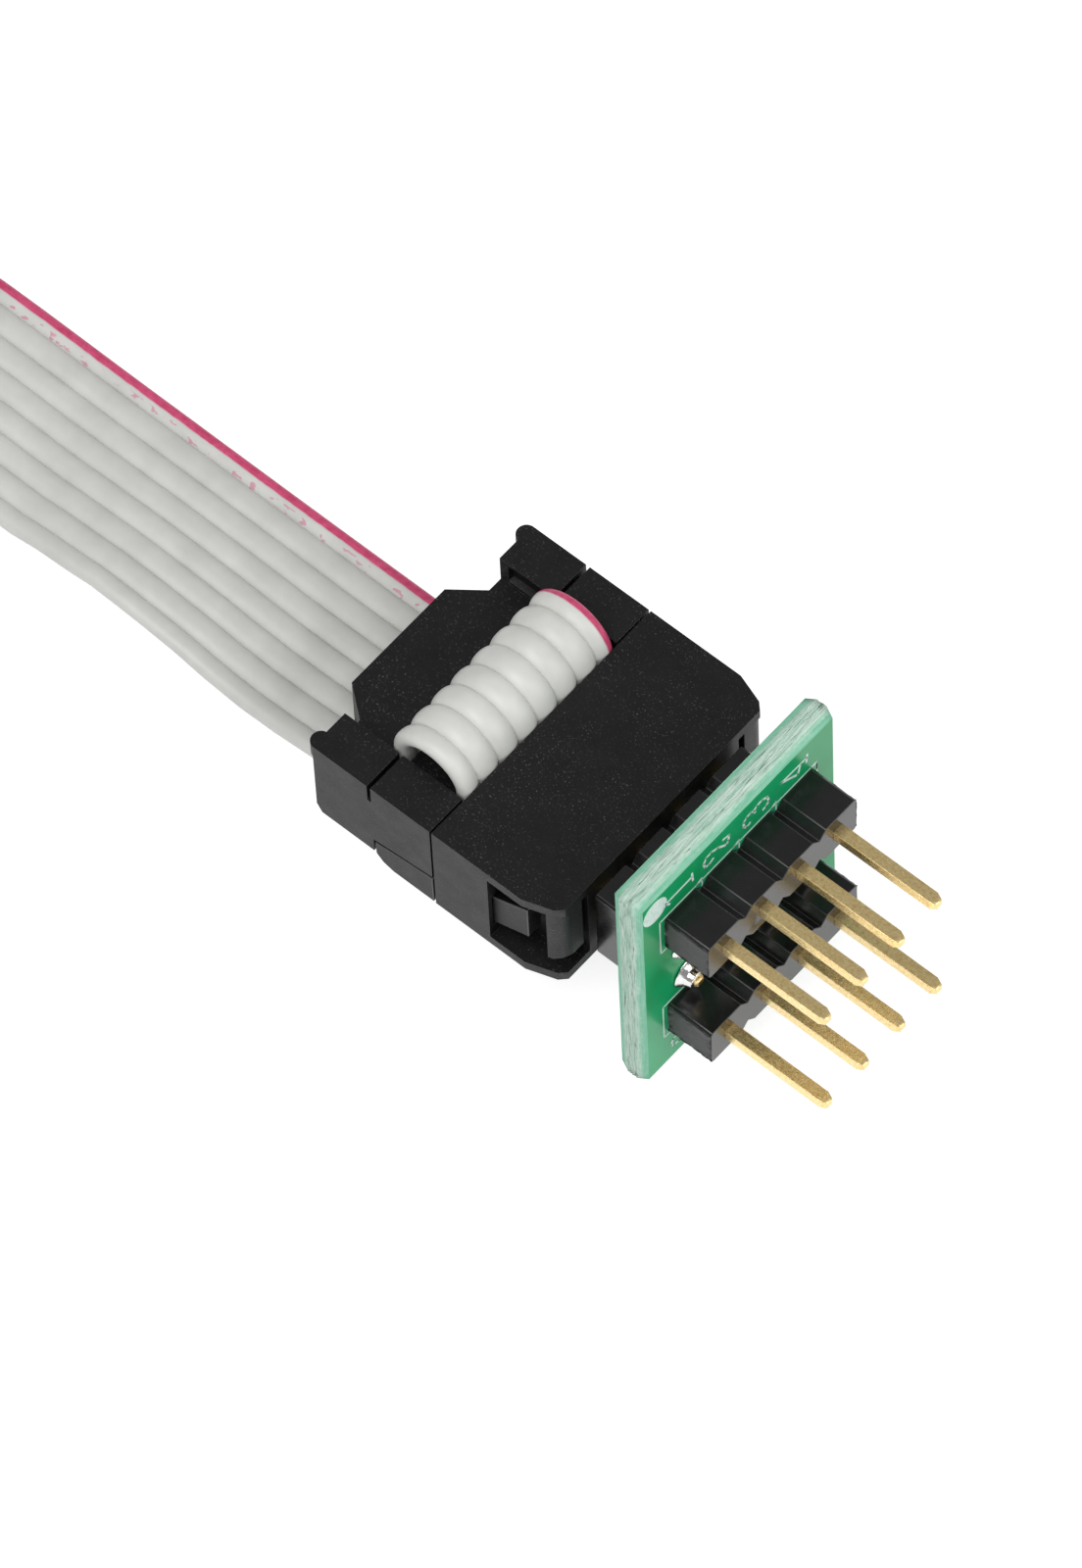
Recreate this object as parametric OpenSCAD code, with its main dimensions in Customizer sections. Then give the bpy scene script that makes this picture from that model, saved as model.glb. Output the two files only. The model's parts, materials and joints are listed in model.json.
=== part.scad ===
// Eight-way test lead: DIL adapter board, ribbon socket, flat ribbon and spring clip.
// Frame: X along the pins (tips at +X), Y along the pin rows, Z up; the lead stands
// on Z = 0 with the board's lower edge, centred on the socket and adapter.

/* [Adapter board] */
// Board width along the pin rows
board_w = 13.4; // [11:0.1:20]
// Board height across the pin rows
board_h = 15.4; // [12:0.1:20]
// Board thickness
board_t = 1.6; // [0.8:0.1:2.4]
// Depth of the scored bevel round the board's faces
score_in = 0.2; // [0.05:0.05:0.4]
// Thickness of the snapped web between the bevels
web_t = 0.6; // [0.3:0.1:1]
// Front face of the board along X
board_front = 5.8; // [5:0.1:8]
// Pin pitch along a row
pitch = 2.54; // [1.27:0.01:2.54]
// Pins in each row
pin_count = 4; // [2:1:8]
// Distance between the two outer pin rows
row_gap = 7.62; // [5.08:0.01:15.24]
// Side of the square pins
pin_side = 0.64; // [0.4:0.01:0.8]
// Plated hole diameter in the board
hole_d = 1.0; // [0.8:0.05:1.3]
// Height of the solder fillets
solder_h = 0.75; // [0.4:0.05:1.5]
// Foot diameter of the solder fillets
solder_d = 1.95; // [1.2:0.05:2.2]
// Length of pin left beyond the board on its soldered side
tail_len = 0.9; // [0.5:0.1:2]

/* [Pin strips] */
// Thickness of every moulded strip, along X
strip_t = 2.54; // [2:0.01:3]
// Height of a single strip across its row
strip_h = 2.5; // [2:0.05:3]
// Depth of the V notches between pins
notch = 0.45; // [0.2:0.05:0.8]
// Corner cut at the ends of a strip
end_cut = 0.12; // [0.05:0.01:0.4]
// Outer pins beyond their strip
pin_out = 5.86; // [4:0.01:8]
// Header pins beyond their base
header_out = 5.8; // [4:0.1:7]
// Length of the tapered pin tips
tip_len = 0.35; // [0.2:0.05:1]
// Width of a pin's end as a share of its side
tip_share = 0.6; // [0.3:0.05:0.9]

/* [Socket] */
// Socket width along the rows
sock_w = 15.1; // [13:0.1:20]
// Socket thickness across the rows
sock_t = 6.2; // [5:0.1:8]
// Front edge of the housing along X
sock_front = 1.35; // [1:0.01:1.6]
// Housing length along X
sock_len = 7.15; // [6:0.01:10]
// Thickness of the housing's top and bottom plates beside the windows
plate_t = 0.6; // [0.4:0.05:1]
// Length of the front taper
taper_len = 1.85; // [1:0.05:3]
// Narrowing of each front corner
taper_in = 0.6; // [0.2:0.05:1]
// Side window length
window_len = 3.15; // [2:0.05:4]
// Distance of the window from the front edge
window_off = 0.75; // [0.4:0.05:1]
// Half width of the contact block between the side walls
core_half = 5.2; // [5:0.05:6]
// Joint line between the socket's pieces
joint_gap = 0.12; // [0.05:0.01:0.3]
// Lower end of the front posts below the socket's axis
post_drop = 1.3; // [0.5:0.1:2]
// Clearance round the cover's latch arms
arm_gap = 0.1; // [0.05:0.01:0.3]
// Clearance of each contact leaf from its pin
leaf_gap = 0.03; // [0.02:0.01:0.1]

/* [Ribbon] */
// Ribbon width over eight conductors
rib_w = 9.9; // [9:0.05:11]
// Width of the ribbon where it is bent tight over the cover
loop_w = 10.3; // [9:0.05:11]
// Ribbon thickness over one conductor
rib_t = 0.85; // [0.6:0.05:1.2]
// Radius of the loop over the cover, to the ribbon's middle
loop_r = 1.85; // [1.2:0.05:3]
// Radius of the bend under the strain relief
bend_r = 1.2; // [1:0.05:2]
// Height of the ribbon's middle where it leaves
exit_z = 3.6; // [3:0.05:5]

/* [Strain relief] */
// Height of the ears above the socket's axis
ear_rise = 3.1; // [2:0.1:4]
// Inner face of the legs from the middle
leg_in = 5.3; // [5.1:0.05:6]
// Top of the bridge above the socket's axis
bridge_top = 1.45; // [0.5:0.05:3]
// Rear end of the bridge along X
bridge_rear = -14.4; // [-16:0.1:-13]
// Clearance between each leg and the ledge below it
ledge_gap = 0.2; // [0.05:0.01:0.3]
// Depth of the pockets in the ears' inner faces
pocket_d = 0.35; // [0.1:0.05:0.6]
// Clearance between ribbon and bridge
bridge_gap = 0.15; // [0.05:0.01:0.3]

/* [Clip] */
// Clip width along the hinge
clip_w = 11.0; // [9:0.1:14]
// Handle length behind the hinge
handle_len = 16; // [12:0.5:24]
// Jaw length in front of the hinge
jaw_len = 14; // [10:0.5:20]
// Half spread of the handles' ends
handle_half = 8.0; // [6:0.1:10]
// Half thickness of the closed jaws at their tips
tip_half = 3.8; // [2.5:0.1:5]
// Hinge pin diameter
axle_d = 2.0; // [1.5:0.1:3]
// Radial clearance of the moving ears on the hinge pin
axle_gap = 0.05; // [0.02:0.01:0.1]
// Thickness of each hinge ear
ear_t = 1.05; // [0.8:0.05:1.5]
// Side gap between neighbouring hinge ears
ear_gap = 0.1; // [0.05:0.05:0.3]
// Outer radius of the hinge ears
ear_r = 2.3; // [2:0.1:3]
// Spring wire diameter
wire_d = 0.5; // [0.4:0.05:0.6]
// Chip lead pitch that the jaw contacts match
chip_pitch = 1.27; // [1.27:0.01:1.27]
// Half space between the jaws behind their tips
jaw_half = 3.0; // [2.6:0.1:3.4]
// Width of each jaw contact
jaw_contact_w = 0.7; // [0.4:0.05:0.9]
// Thickness of each jaw contact
jaw_contact_t = 0.25; // [0.15:0.05:0.4]

/* [Tie] */
// Tie width
tie_w = 2.0; // [1:0.1:4]
// Tie thickness
tie_t = 0.28; // [0.2:0.02:0.6]
// Clearance between tie and folded ribbon
tie_gap = 0.04; // [0.02:0.01:0.1]

/* [Hidden] */
$fn = 32;
eps = 0.01;
axis_z = board_h / 2;
board_back = board_front - board_t;
strip_len = pin_count * pitch;
strip_front = board_front + strip_t;
base_back = board_back - strip_t;
sock_rear = sock_front - sock_len;
cover_front = sock_rear - rib_t;
loop_x = sock_rear - rib_t / 2 - loop_r;
cover_rear = loop_x - loop_r + rib_t / 2;
loop_z = axis_z + 2.72;
down_x = loop_x - loop_r;
bridge_front = down_x - rib_t / 2 - bridge_gap;
ear_rear = -12.87;
leg_front = sock_rear - joint_gap;
ledge_rear = cover_rear + 0.15;
leg_low = axis_z - 2.4;
// Joint between leg and ledge, X and height from the socket's axis
ledge_line = [[leg_front, -1.1], [cover_rear + 2.6, -1.25], [cover_rear + 1.7, -1.35], [ledge_rear, -1.6]];
sock_low = axis_z - sock_t / 2;
sock_top = axis_z + sock_t / 2;
win_x0 = sock_front - window_off - window_len;
win_x1 = sock_front - window_off;
arm_y0 = 6.3;
arm_y1 = 7.2;
// Sloped latch arm: X, lower and upper height from the socket's axis
arm_line = [[leg_front, -2.5, -1.3], [win_x0, -1.6, 0.55], [win_x1 - 1.1, -0.7, 1.6]];
run_start = -13.0;
wire_y = 1.27;
clip_tilt = atan2(handle_half - tip_half, handle_len + jaw_len);
clip_x = -112;
clip_z = handle_half * cos(clip_tilt) - handle_len * sin(clip_tilt);
block_x0 = 5.5;
block_x1 = 10;
block_half = 1.5;
jaw_inner = [[3, -2.8], [-3, -2.7], [-4.5, -jaw_half], [-12.2, -jaw_half], [-jaw_len, -2.4]];
tie_x = -72;
tie_z1 = 3.48;
tie_z0 = 0.32;
// Route of the ribbon's middle line, X and Z, outside the strain relief
run_pts = [[-13, 3.6], [-24, 3.7], [-34, 3.9], [-44, 4.1], [-50, 3.2], [-54.6, 2.0]];
tail_pts = [[-92.7, 8.55], [-94.5, 8.4], [-96.2, 7.95], [-102.12, 7.0]];
hank_pts = [[-54.6, 1.3], [-54.6, 8.6], [-55.6, 10], [-57.5, 10.3], [-60, 10.2], [-63.5, 8.6],
  [-67.5, 5.4], [-70.9, 3.48], [-73.1, 3.48], [-77.5, 4.7], [-82, 7.1], [-87, 8.8], [-92.7, 9.1],
  [-92.7, 2.4], [-91.4, 0.7], [-89.5, 0], [-74.6, 0], [-73.1, 0.32], [-70.9, 0.32], [-69.4, 0],
  [-62, 0], [-58, 0.5]];

function pin_y(i) = (i - (pin_count - 1) / 2) * pitch;

// A box between two corners
module span(a, b) {
  translate(a) cube([b[0] - a[0], b[1] - a[1], b[2] - a[2]]);
}

// Turns a drawing in X and Z into a slab centred on Y
module slab(w, y = 0) {
  translate([0, y + w / 2, 0]) rotate([90, 0, 0]) linear_extrude(height = w) children();
}

// A square pin along X with both ends tapered
module square_pin(x0, x1, y, z) {
  s = pin_side / 2;
  span([x0 + tip_len, y - s, z - s], [x1 - tip_len, y + s, z + s]);
  translate([x1 - tip_len, y, z]) rotate([0, 90, 0])
    linear_extrude(height = tip_len, scale = tip_share) square(pin_side, center = true);
  translate([x0 + tip_len, y, z]) rotate([0, -90, 0])
    linear_extrude(height = tip_len, scale = tip_share) square(pin_side, center = true);
}

// Outline of a strip seen along X, in Y and Z, with V notches between pins
function strip_pts(h) = let (e = strip_len / 2, n = notch, c = end_cut) concat(
  [[-e, -h / 2 + c], [-e + c, -h / 2]],
  [for (i = [1 : pin_count - 1]) for (q = [[-n, 0], [0, n], [n, 0]]) [pin_y(i) - pitch / 2 + q[0], q[1] - h / 2]],
  [[e - c, -h / 2], [e, -h / 2 + c], [e, h / 2 - c], [e - c, h / 2]],
  [for (i = [pin_count - 1 : -1 : 1]) for (q = [[n, 0], [0, -n], [-n, 0]]) [pin_y(i) - pitch / 2 + q[0], q[1] + h / 2]],
  [[-e + c, h / 2], [-e, h / 2 - c]]);

// A moulded strip with square holes for rows of pins
module strip(x0, z, h, rows) {
  difference() {
    translate([x0, 0, z]) rotate([90, 0, 90]) linear_extrude(height = strip_t) polygon(strip_pts(h));
    for (i = [0 : pin_count - 1]) for (r = rows)
      span([x0 - eps, pin_y(i) - pin_side / 2, z + r - pin_side / 2],
        [x0 + strip_t + eps, pin_y(i) + pin_side / 2, z + r + pin_side / 2]);
  }
}

// Outline of a plate from a to b along one side, its faces scored back
function scored_pts(x0, x1, a, b) = let (d = (x1 - x0 - web_t) / 2, s = score_in)
  [[x0, a + s], [x0 + d, a], [x1 - d, a], [x1, a + s], [x1, b - s], [x1 - d, b], [x0 + d, b], [x0, b - s]];

module adapter_board() {
  color("green") difference() {
    intersection() {
      slab(board_w + 1) polygon(scored_pts(board_back, board_front, 0, board_h));
      linear_extrude(height = board_h) polygon(scored_pts(board_back, board_front, -board_w / 2, board_w / 2));
    }
    for (i = [0 : pin_count - 1]) for (z = [-row_gap / 2, -pitch / 2, pitch / 2, row_gap / 2])
      translate([board_back - 1, pin_y(i), axis_z + z]) rotate([0, 90, 0])
        cylinder(d = hole_d, h = board_t + 2);
  }
}

module pin_strip_upper() {
  color("black") strip(board_front, axis_z + row_gap / 2, strip_h, [0]);
}

module pin_strip_lower() {
  color("black") strip(board_front, axis_z - row_gap / 2, strip_h, [0]);
}

module pins_row(z) {
  for (i = [0 : pin_count - 1])
    square_pin(board_back - tail_len, strip_front + pin_out, pin_y(i), z);
}

module pins_upper() {
  color("gold") pins_row(axis_z + row_gap / 2);
}

module pins_lower() {
  color("gold") pins_row(axis_z - row_gap / 2);
}

module header_base() {
  color("black") strip(base_back, axis_z, 2 * pitch, [-pitch / 2, pitch / 2]);
}

module header_pins() {
  color("gold") for (i = [0 : pin_count - 1]) for (z = [-pitch / 2, pitch / 2])
    square_pin(base_back - header_out, board_front + tail_len, pin_y(i), axis_z + z);
}

// One solder fillet on a board face, with the pin left clear
module fillet(x, dir, y, z) {
  s = pin_side / 2;
  difference() {
    translate([x, y, z]) rotate([0, 90 * dir, 0]) rotate_extrude($fn = 20)
      polygon([[0, 0], [solder_d / 2, 0], [solder_d * 0.4, solder_h * 0.17], [pin_side * 0.9, solder_h * 0.5],
        [pin_side * 0.74, solder_h], [0, solder_h]]);
    span([x - 2, y - s, z - s], [x + 2, y + s, z + s]);
  }
}

module solder_front() {
  color("silver") for (i = [0 : pin_count - 1]) for (z = [-pitch / 2, pitch / 2])
    fillet(board_front, 1, pin_y(i), axis_z + z);
}

module solder_back() {
  color("silver") for (i = [0 : pin_count - 1]) for (z = [-row_gap / 2, row_gap / 2])
    fillet(board_back, -1, pin_y(i), axis_z + z);
}

// Outline of the housing seen from above
module housing_outline() {
  h = sock_w / 2;
  r = 0.35;
  polygon([[sock_rear, -h], [sock_front - taper_len, -h], [sock_front - r, -h + taper_in - 0.1],
    [sock_front, -h + taper_in + r - 0.1], [sock_front, h - taper_in - r + 0.1],
    [sock_front - r, h - taper_in + 0.1], [sock_front - taper_len, h], [sock_rear, h]]);
}

module socket_housing() {
  color("dimgray") difference() {
    translate([0, 0, sock_low]) linear_extrude(height = sock_t) housing_outline();
    for (s = [-1, 1]) {
      // side window
      span([win_x0, s > 0 ? 6.0 : -9, sock_low + plate_t], [win_x1, s > 0 ? 9 : -6.0, sock_top - plate_t]);
      // clear space below the front post, and the slot beside the contact block
      span([win_x1 - eps, s > 0 ? core_half : -9, sock_low + plate_t],
        [sock_front + 1, s > 0 ? 9 : -core_half, axis_z - post_drop]);
      span([sock_front - 1.2, s > 0 ? core_half : -core_half - 0.4, axis_z - post_drop - eps],
        [sock_front + 1, s > 0 ? core_half + 0.4 : -core_half, sock_top - plate_t]);
      // rounded front corner of the post
      translate([0, 0, sock_low + plate_t]) linear_extrude(height = sock_t - 2 * plate_t)
        polygon([for (q = [[-0.9, 1], [-0.9, -0.25], [-0.5, -0.45], [-0.2, -0.75], [0, -1.2], [1, -1.2], [1, 1]])
          [sock_front + q[0], s * (sock_w / 2 + q[1])]]);
      // slot for the cover's latch arm
      slab(arm_y1 - arm_y0 + 2 * arm_gap, s * (arm_y0 + arm_y1) / 2) polygon([
        [sock_rear - 1, axis_z + arm_line[0][1] - arm_gap], [sock_rear - 1, axis_z + arm_line[0][2] + arm_gap],
        [sock_rear, axis_z + arm_line[0][2] + arm_gap], [win_x0 + eps, axis_z + arm_line[1][2] + arm_gap],
        [win_x0 + eps, axis_z + arm_line[1][1] - arm_gap], [sock_rear, axis_z + arm_line[0][1] - arm_gap]]);
    }
    for (i = [0 : pin_count - 1]) for (r = [-1, 1]) {
      z = axis_z + r * pitch / 2;
      y = pin_y(i);
      wy = y + r * wire_y / 2;
      // contact chamber, its mouth and the slit for the fork
      span([sock_rear + 0.6, min(y, wy) - 0.55, z - 0.62], [sock_front - 0.5, max(y, wy) + 0.55, z + 0.62]);
      span([sock_front - 0.6, y - 0.5, z - 0.5], [sock_front + 1, y + 0.5, z + 0.5]);
      span([sock_rear - 1, wy - 0.5, z - 0.2], [sock_rear + 0.7, wy + 0.5, z + 0.2]);
    }
  }
}

module socket_cover() {
  color("dimgray") difference() {
    union() {
      span([cover_rear, -core_half + 0.05, sock_low], [cover_front, core_half - 0.05, axis_z + 1.9]);
      for (s = [-1, 1]) {
        // ledge under the strain relief's leg, with a rounded rear corner
        slab(sock_w / 2 - core_half + 0.4, s * (sock_w / 2 + core_half - 0.4) / 2)
          polygon(concat([[leg_front, sock_low]], [for (q = ledge_line) [q[0], axis_z + q[1]]],
            [[ledge_rear, sock_low + 0.6], [ledge_rear + 0.4, sock_low + 0.2], [ledge_rear + 1.0, sock_low]]));
        slab(arm_y1 - arm_y0, s * (arm_y0 + arm_y1) / 2)
          polygon(concat([[leg_front - 0.2, axis_z + arm_line[0][1]], [leg_front - 0.2, axis_z + arm_line[0][2]]],
            [for (q = arm_line) [q[0], axis_z + q[2]]], [for (k = [2 : -1 : 0]) [arm_line[k][0], axis_z + arm_line[k][1]]]));
      }
    }
    for (i = [0 : pin_count - 1]) for (r = [-1, 1]) {
      wy = pin_y(i) + r * wire_y / 2;
      span([cover_front - 1.0, wy - 0.5, axis_z + r * pitch / 2 - 0.2],
        [cover_front + 1, wy + 0.5, axis_z + r * pitch / 2 + 0.2]);
    }
    // room for the ribbon beside the ledges
    span([cover_front, -loop_w / 2 - 0.1, sock_low - 1], [sock_rear + 1, loop_w / 2 + 0.1, sock_top]);
  }
}

module strain_relief() {
  top = axis_z + ear_rise;
  low = exit_z + rib_t / 2;
  color("black") difference() {
    union() {
      for (s = [-1, 1]) {
        w = sock_w / 2 - leg_in;
        // leg and ear, seen from the side
        slab(w, s * (sock_w / 2 + leg_in) / 2) polygon(concat(
          [[leg_front, top], [ear_rear, top], [ear_rear, leg_low + 0.5], [ear_rear + 0.3, leg_low],
            [ledge_rear - 0.1, leg_low], [ledge_rear - 0.1, axis_z + ledge_line[3][1] + ledge_gap]],
          [for (k = [2 : -1 : 0]) [ledge_line[k][0], axis_z + ledge_line[k][1] + ledge_gap]]));
        // bead on the ear's rear corner
        translate([ear_rear + 0.1, s * (sock_w / 2 - 0.5), top - 0.9]) cylinder(r = 0.5, h = 0.9);
      }
      // bridge across the ribbon
      translate([0, 0, leg_low]) linear_extrude(height = axis_z + bridge_top - leg_low)
        polygon([[bridge_front, -leg_in - 0.5], [bridge_front, leg_in + 0.5], [ear_rear + 0.05, leg_in + 0.5],
          [ear_rear + 0.05, 4.45], [bridge_rear, 3.2], [bridge_rear, -3.2], [ear_rear + 0.05, -4.45],
          [ear_rear + 0.05, -leg_in - 0.5]]);
      // clamping rib over the ribbon
      span([ear_rear + 0.3, -leg_in - 0.3, low], [ear_rear + 1.3, leg_in + 0.3, leg_low + 0.5]);
    }
    for (s = [-1, 1]) {
      // groove across the top between ear and leg
      span([cover_rear - 0.14, s > 0 ? leg_in - 1 : -9, top - 1.2], [cover_rear + 0.08, s > 0 ? 9 : -leg_in + 1, top + 1]);
      // pocket in the ear's inner face
      span([ear_rear + 0.5, s > 0 ? leg_in - 0.2 : -leg_in - pocket_d, axis_z + bridge_top + 0.2],
        [cover_rear - 0.4, s > 0 ? leg_in + pocket_d : -leg_in + 0.2, top - 0.2]);
      // leg narrows beside the cover
      span([bridge_front + 0.5, s > 0 ? 4 : -core_half - 0.1, 0], [1, s > 0 ? core_half + 0.1 : -4, 20]);
    }
  }
}

// Contacts of one row: two leaves, a base and a forked end in the ribbon
module contact_row(r) {
  z = axis_z + r * pitch / 2;
  g = pin_side / 2 + leaf_gap;
  for (i = [0 : pin_count - 1]) {
    y = pin_y(i);
    wy = y + r * wire_y / 2;
    for (s = [-1, 1]) span([sock_rear + 1.2, y - 0.4, z + (s > 0 ? g : -g - 0.16)],
      [sock_front - 0.7, y + 0.4, z + (s > 0 ? g + 0.16 : -g)]);
    span([sock_rear + 0.7, min(y, wy) - 0.4, z - g - 0.16], [sock_rear + 1.25, max(y, wy) + 0.4, z + g + 0.16]);
    for (s = [-1, 1]) translate([0, 0, z - 0.12]) linear_extrude(height = 0.24)
      polygon([[sock_rear + 0.75, wy + s * 0.14], [sock_rear + 0.75, wy + s * 0.42],
        [cover_front - 0.5, wy + s * 0.42], [cover_front - 0.85, wy + s * 0.28], [cover_front - 0.5, wy + s * 0.14]]);
  }
}

module contacts_upper() {
  color("gold") contact_row(1);
}

module contacts_lower() {
  color("gold") contact_row(-1);
}

// The ribbon from the joint over the cover, down its back and under the bridge
module ribbon_loop() {
  h = rib_t / 2;
  color("lightgray") {
    difference() {
      slab(loop_w) union() {
        translate([sock_rear - rib_t, sock_low + 0.4]) square([rib_t, loop_z - sock_low - 0.4 + eps]);
        translate([down_x - h, exit_z + bend_r - eps]) square([rib_t, loop_z - exit_z - bend_r + 2 * eps]);
        translate([run_start, exit_z - h]) square([down_x - bend_r - run_start + eps, rib_t]);
        translate([loop_x, loop_z]) intersection() {
          difference() {
            circle(r = loop_r + h, $fn = 48);
            circle(r = loop_r - h, $fn = 48);
          }
          translate([-5, 0]) square([10, 5]);
        }
        translate([down_x - bend_r, exit_z + bend_r]) intersection() {
          difference() {
            circle(r = bend_r + h, $fn = 48);
            circle(r = bend_r - h, $fn = 48);
          }
          translate([0, -5]) square([5, 5]);
        }
      }
    }
  }
}

// Cross-section of the flat ribbon: eight corners
section = [for (p = [[-1, -0.5], [-0.97, -1], [0.97, -1], [1, -0.5], [1, 0.5], [0.97, 1], [-0.97, 1], [-1, 0.5]])
  [p[0] * rib_w / 2, p[1] * rib_t / 2]];

// A point on a smooth curve through the route, segment i, share t
function mix(p, i, t) = let (n = len(p), a = p[max(i - 1, 0)], b = p[i], c = p[i + 1], d = p[min(i + 2, n - 1)])
  0.5 * ((2 * b) + (c - a) * t + (2 * a - 5 * b + 4 * c - d) * t * t + (3 * b - a - 3 * c + d) * t * t * t);

// Flat ribbon swept along points in X and Z
module flat_sweep(p, steps) {
  line = [for (i = [0 : len(p) - 2]) for (k = [0 : steps - 1]) mix(p, i, k / steps), p[len(p) - 1]];
  n = len(line);
  m = len(section);
  pts = [for (i = [0 : n - 1]) let (a = line[max(i - 1, 0)], b = line[min(i + 1, n - 1)],
    d = (b - a) / norm(b - a), q = (i == 0 || i == n - 1) ? [0, 1] : [d[1], -d[0]],
    o = q[1] < 0 ? -q : q)
    for (s = section) [line[i][0] + o[0] * s[1], s[0], line[i][1] + o[1] * s[1]]];
  faces = concat([[for (k = [0 : m - 1]) k]], [[for (k = [m - 1 : -1 : 0]) (n - 1) * m + k]],
    [for (i = [0 : n - 2]) for (k = [0 : m - 1])
      [i * m + k, (i + 1) * m + k, (i + 1) * m + (k + 1) % m, i * m + (k + 1) % m]]);
  polyhedron(points = pts, faces = faces);
}

module ribbon_run() {
  color("lightgray") flat_sweep(run_pts, 3);
}

module ribbon_hank() {
  color("lightgray") slab(rib_w) polygon(hank_pts);
}

module ribbon_tail() {
  color("lightgray") flat_sweep(tail_pts, 2);
}

module hank_tie() {
  y = rib_w / 2 + tie_gap;
  z0 = tie_z0 - tie_gap;
  z1 = tie_z1 + tie_gap;
  color("black") {
    difference() {
      span([tie_x - tie_w / 2, -y - tie_t, z0 - tie_t], [tie_x + tie_w / 2, y + tie_t, z1 + tie_t]);
      span([tie_x - tie_w, -y, z0], [tie_x + tie_w, y, z1]);
    }
    // twisted tail
    translate([tie_x, -3, z1 + tie_t / 2 + 0.3]) rotate([-90, 0, 12]) cylinder(r = 0.5, h = 8, $fn = 16);
  }
}

// Places a clip piece drawn about its hinge
module at_clip() {
  translate([clip_x, 0, clip_z]) rotate([0, -clip_tilt, 0]) children();
}

// One lever of the clip, drawn as the lower one
module lever(ear_y, bore_r) {
  difference() {
    union() {
      difference() {
        slab(clip_w) polygon(concat([[handle_len, -handle_half], [handle_len, -handle_half + 1.5],
          [8, -4.6]], jaw_inner, [[-jaw_len, -tip_half], [-9, -4.4], [0, -5.4], [8, -6.6]]));
        // jaws narrow towards their tips
        for (s = [-1, 1]) translate([0, 0, -10]) linear_extrude(height = 12)
          polygon([[-4, s * clip_w / 2], [-10, s * 4.0], [-jaw_len - 1, s * 4.0], [-jaw_len - 1, s * 8], [-4, s * 8]]);
        // finger grips
        for (x = [8.5 : 1.6 : 14.9]) translate([x, 0, -6.5 - (x - 8) * 0.1875]) rotate([0, -10.6, 0])
          cube([0.7, clip_w + 1, 0.6], center = true);
      }
      for (s = [-1, 1]) slab(ear_t, s * ear_y) union() {
        circle(r = ear_r);
        polygon([[-ear_r, 0], [ear_r, 0], [3.2, -3.6], [-3.2, -3.4]]);
      }
    }
    rotate([90, 0, 0]) cylinder(r = bore_r, h = clip_w + 4, center = true);
  }
}

module clip_jaw_lower() {
  color("black") at_clip() {
    lever(clip_w / 2 - ear_t / 2, axle_d / 2);
    // posts under the wire block
    for (s = [-1, 1]) span([block_x0 + 0.5, s > 0 ? 4.2 : -5.2, -5], [block_x1 - 0.5, s > 0 ? 5.2 : -4.2, -block_half]);
  }
}

module clip_jaw_upper() {
  color("black") at_clip() mirror([0, 0, 1])
    lever(clip_w / 2 - 1.5 * ear_t - ear_gap, axle_d / 2 + axle_gap);
}

module clip_axle() {
  color("silver") at_clip() {
    rotate([90, 0, 0]) cylinder(d = axle_d, h = clip_w + 0.02, center = true);
    for (s = [-1, 1]) translate([0, s * (clip_w / 2 + 0.2), 0]) rotate([90, 0, 0]) cylinder(r = 1.4, h = 0.4, center = true);
  }
}

module clip_spring() {
  r = axle_d / 2 + 0.3 + wire_d / 2;
  lean = atan2(1.8, 5);
  z0 = 2.8 - 3 * tan(lean) - (wire_d / 2 + leaf_gap) / cos(lean);
  color("silver") at_clip() {
    rotate([90, 0, 0]) rotate_extrude() for (k = [-3 : 3]) translate([r, k * wire_d * 0.94]) circle(d = wire_d, $fn = 16);
    // each leg rests between two of the jaw's contacts
    for (s = [-1, 1]) translate([0, s * chip_pitch, s * z0]) rotate([0, 90 - s * lean, 0])
      cylinder(d = wire_d - 0.04, h = 7.0, $fn = 16);
  }
}

module jaw_contacts() {
  t = jaw_contact_t;
  for (i = [-1.5 : 1 : 1.5]) slab(jaw_contact_w, i * chip_pitch)
    polygon(concat(jaw_inner, [[-jaw_len - 1, -1.7], [-jaw_len - 0.9, -1.45], [-jaw_len + 0.1, -2.15]],
      [for (k = [3 : -1 : 0]) jaw_inner[k] + [0, t]]));
}

module clip_contacts_lower() {
  color("gold") at_clip() jaw_contacts();
}

module clip_contacts_upper() {
  color("gold") at_clip() mirror([0, 0, 1]) jaw_contacts();
}

module clip_wire_block() {
  color("black") at_clip() span([block_x0, -5.2, -block_half], [block_x1, 5.2, block_half]);
}

adapter_board();
pin_strip_upper();
pin_strip_lower();
pins_upper();
pins_lower();
header_base();
header_pins();
solder_front();
solder_back();
socket_housing();
socket_cover();
strain_relief();
contacts_upper();
contacts_lower();
ribbon_loop();
ribbon_run();
ribbon_hank();
ribbon_tail();
hank_tie();
clip_jaw_lower();
clip_jaw_upper();
clip_axle();
clip_spring();
clip_contacts_lower();
clip_contacts_upper();
clip_wire_block();
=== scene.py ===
import json
import math
import bpy
from mathutils import Matrix, Vector

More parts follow.
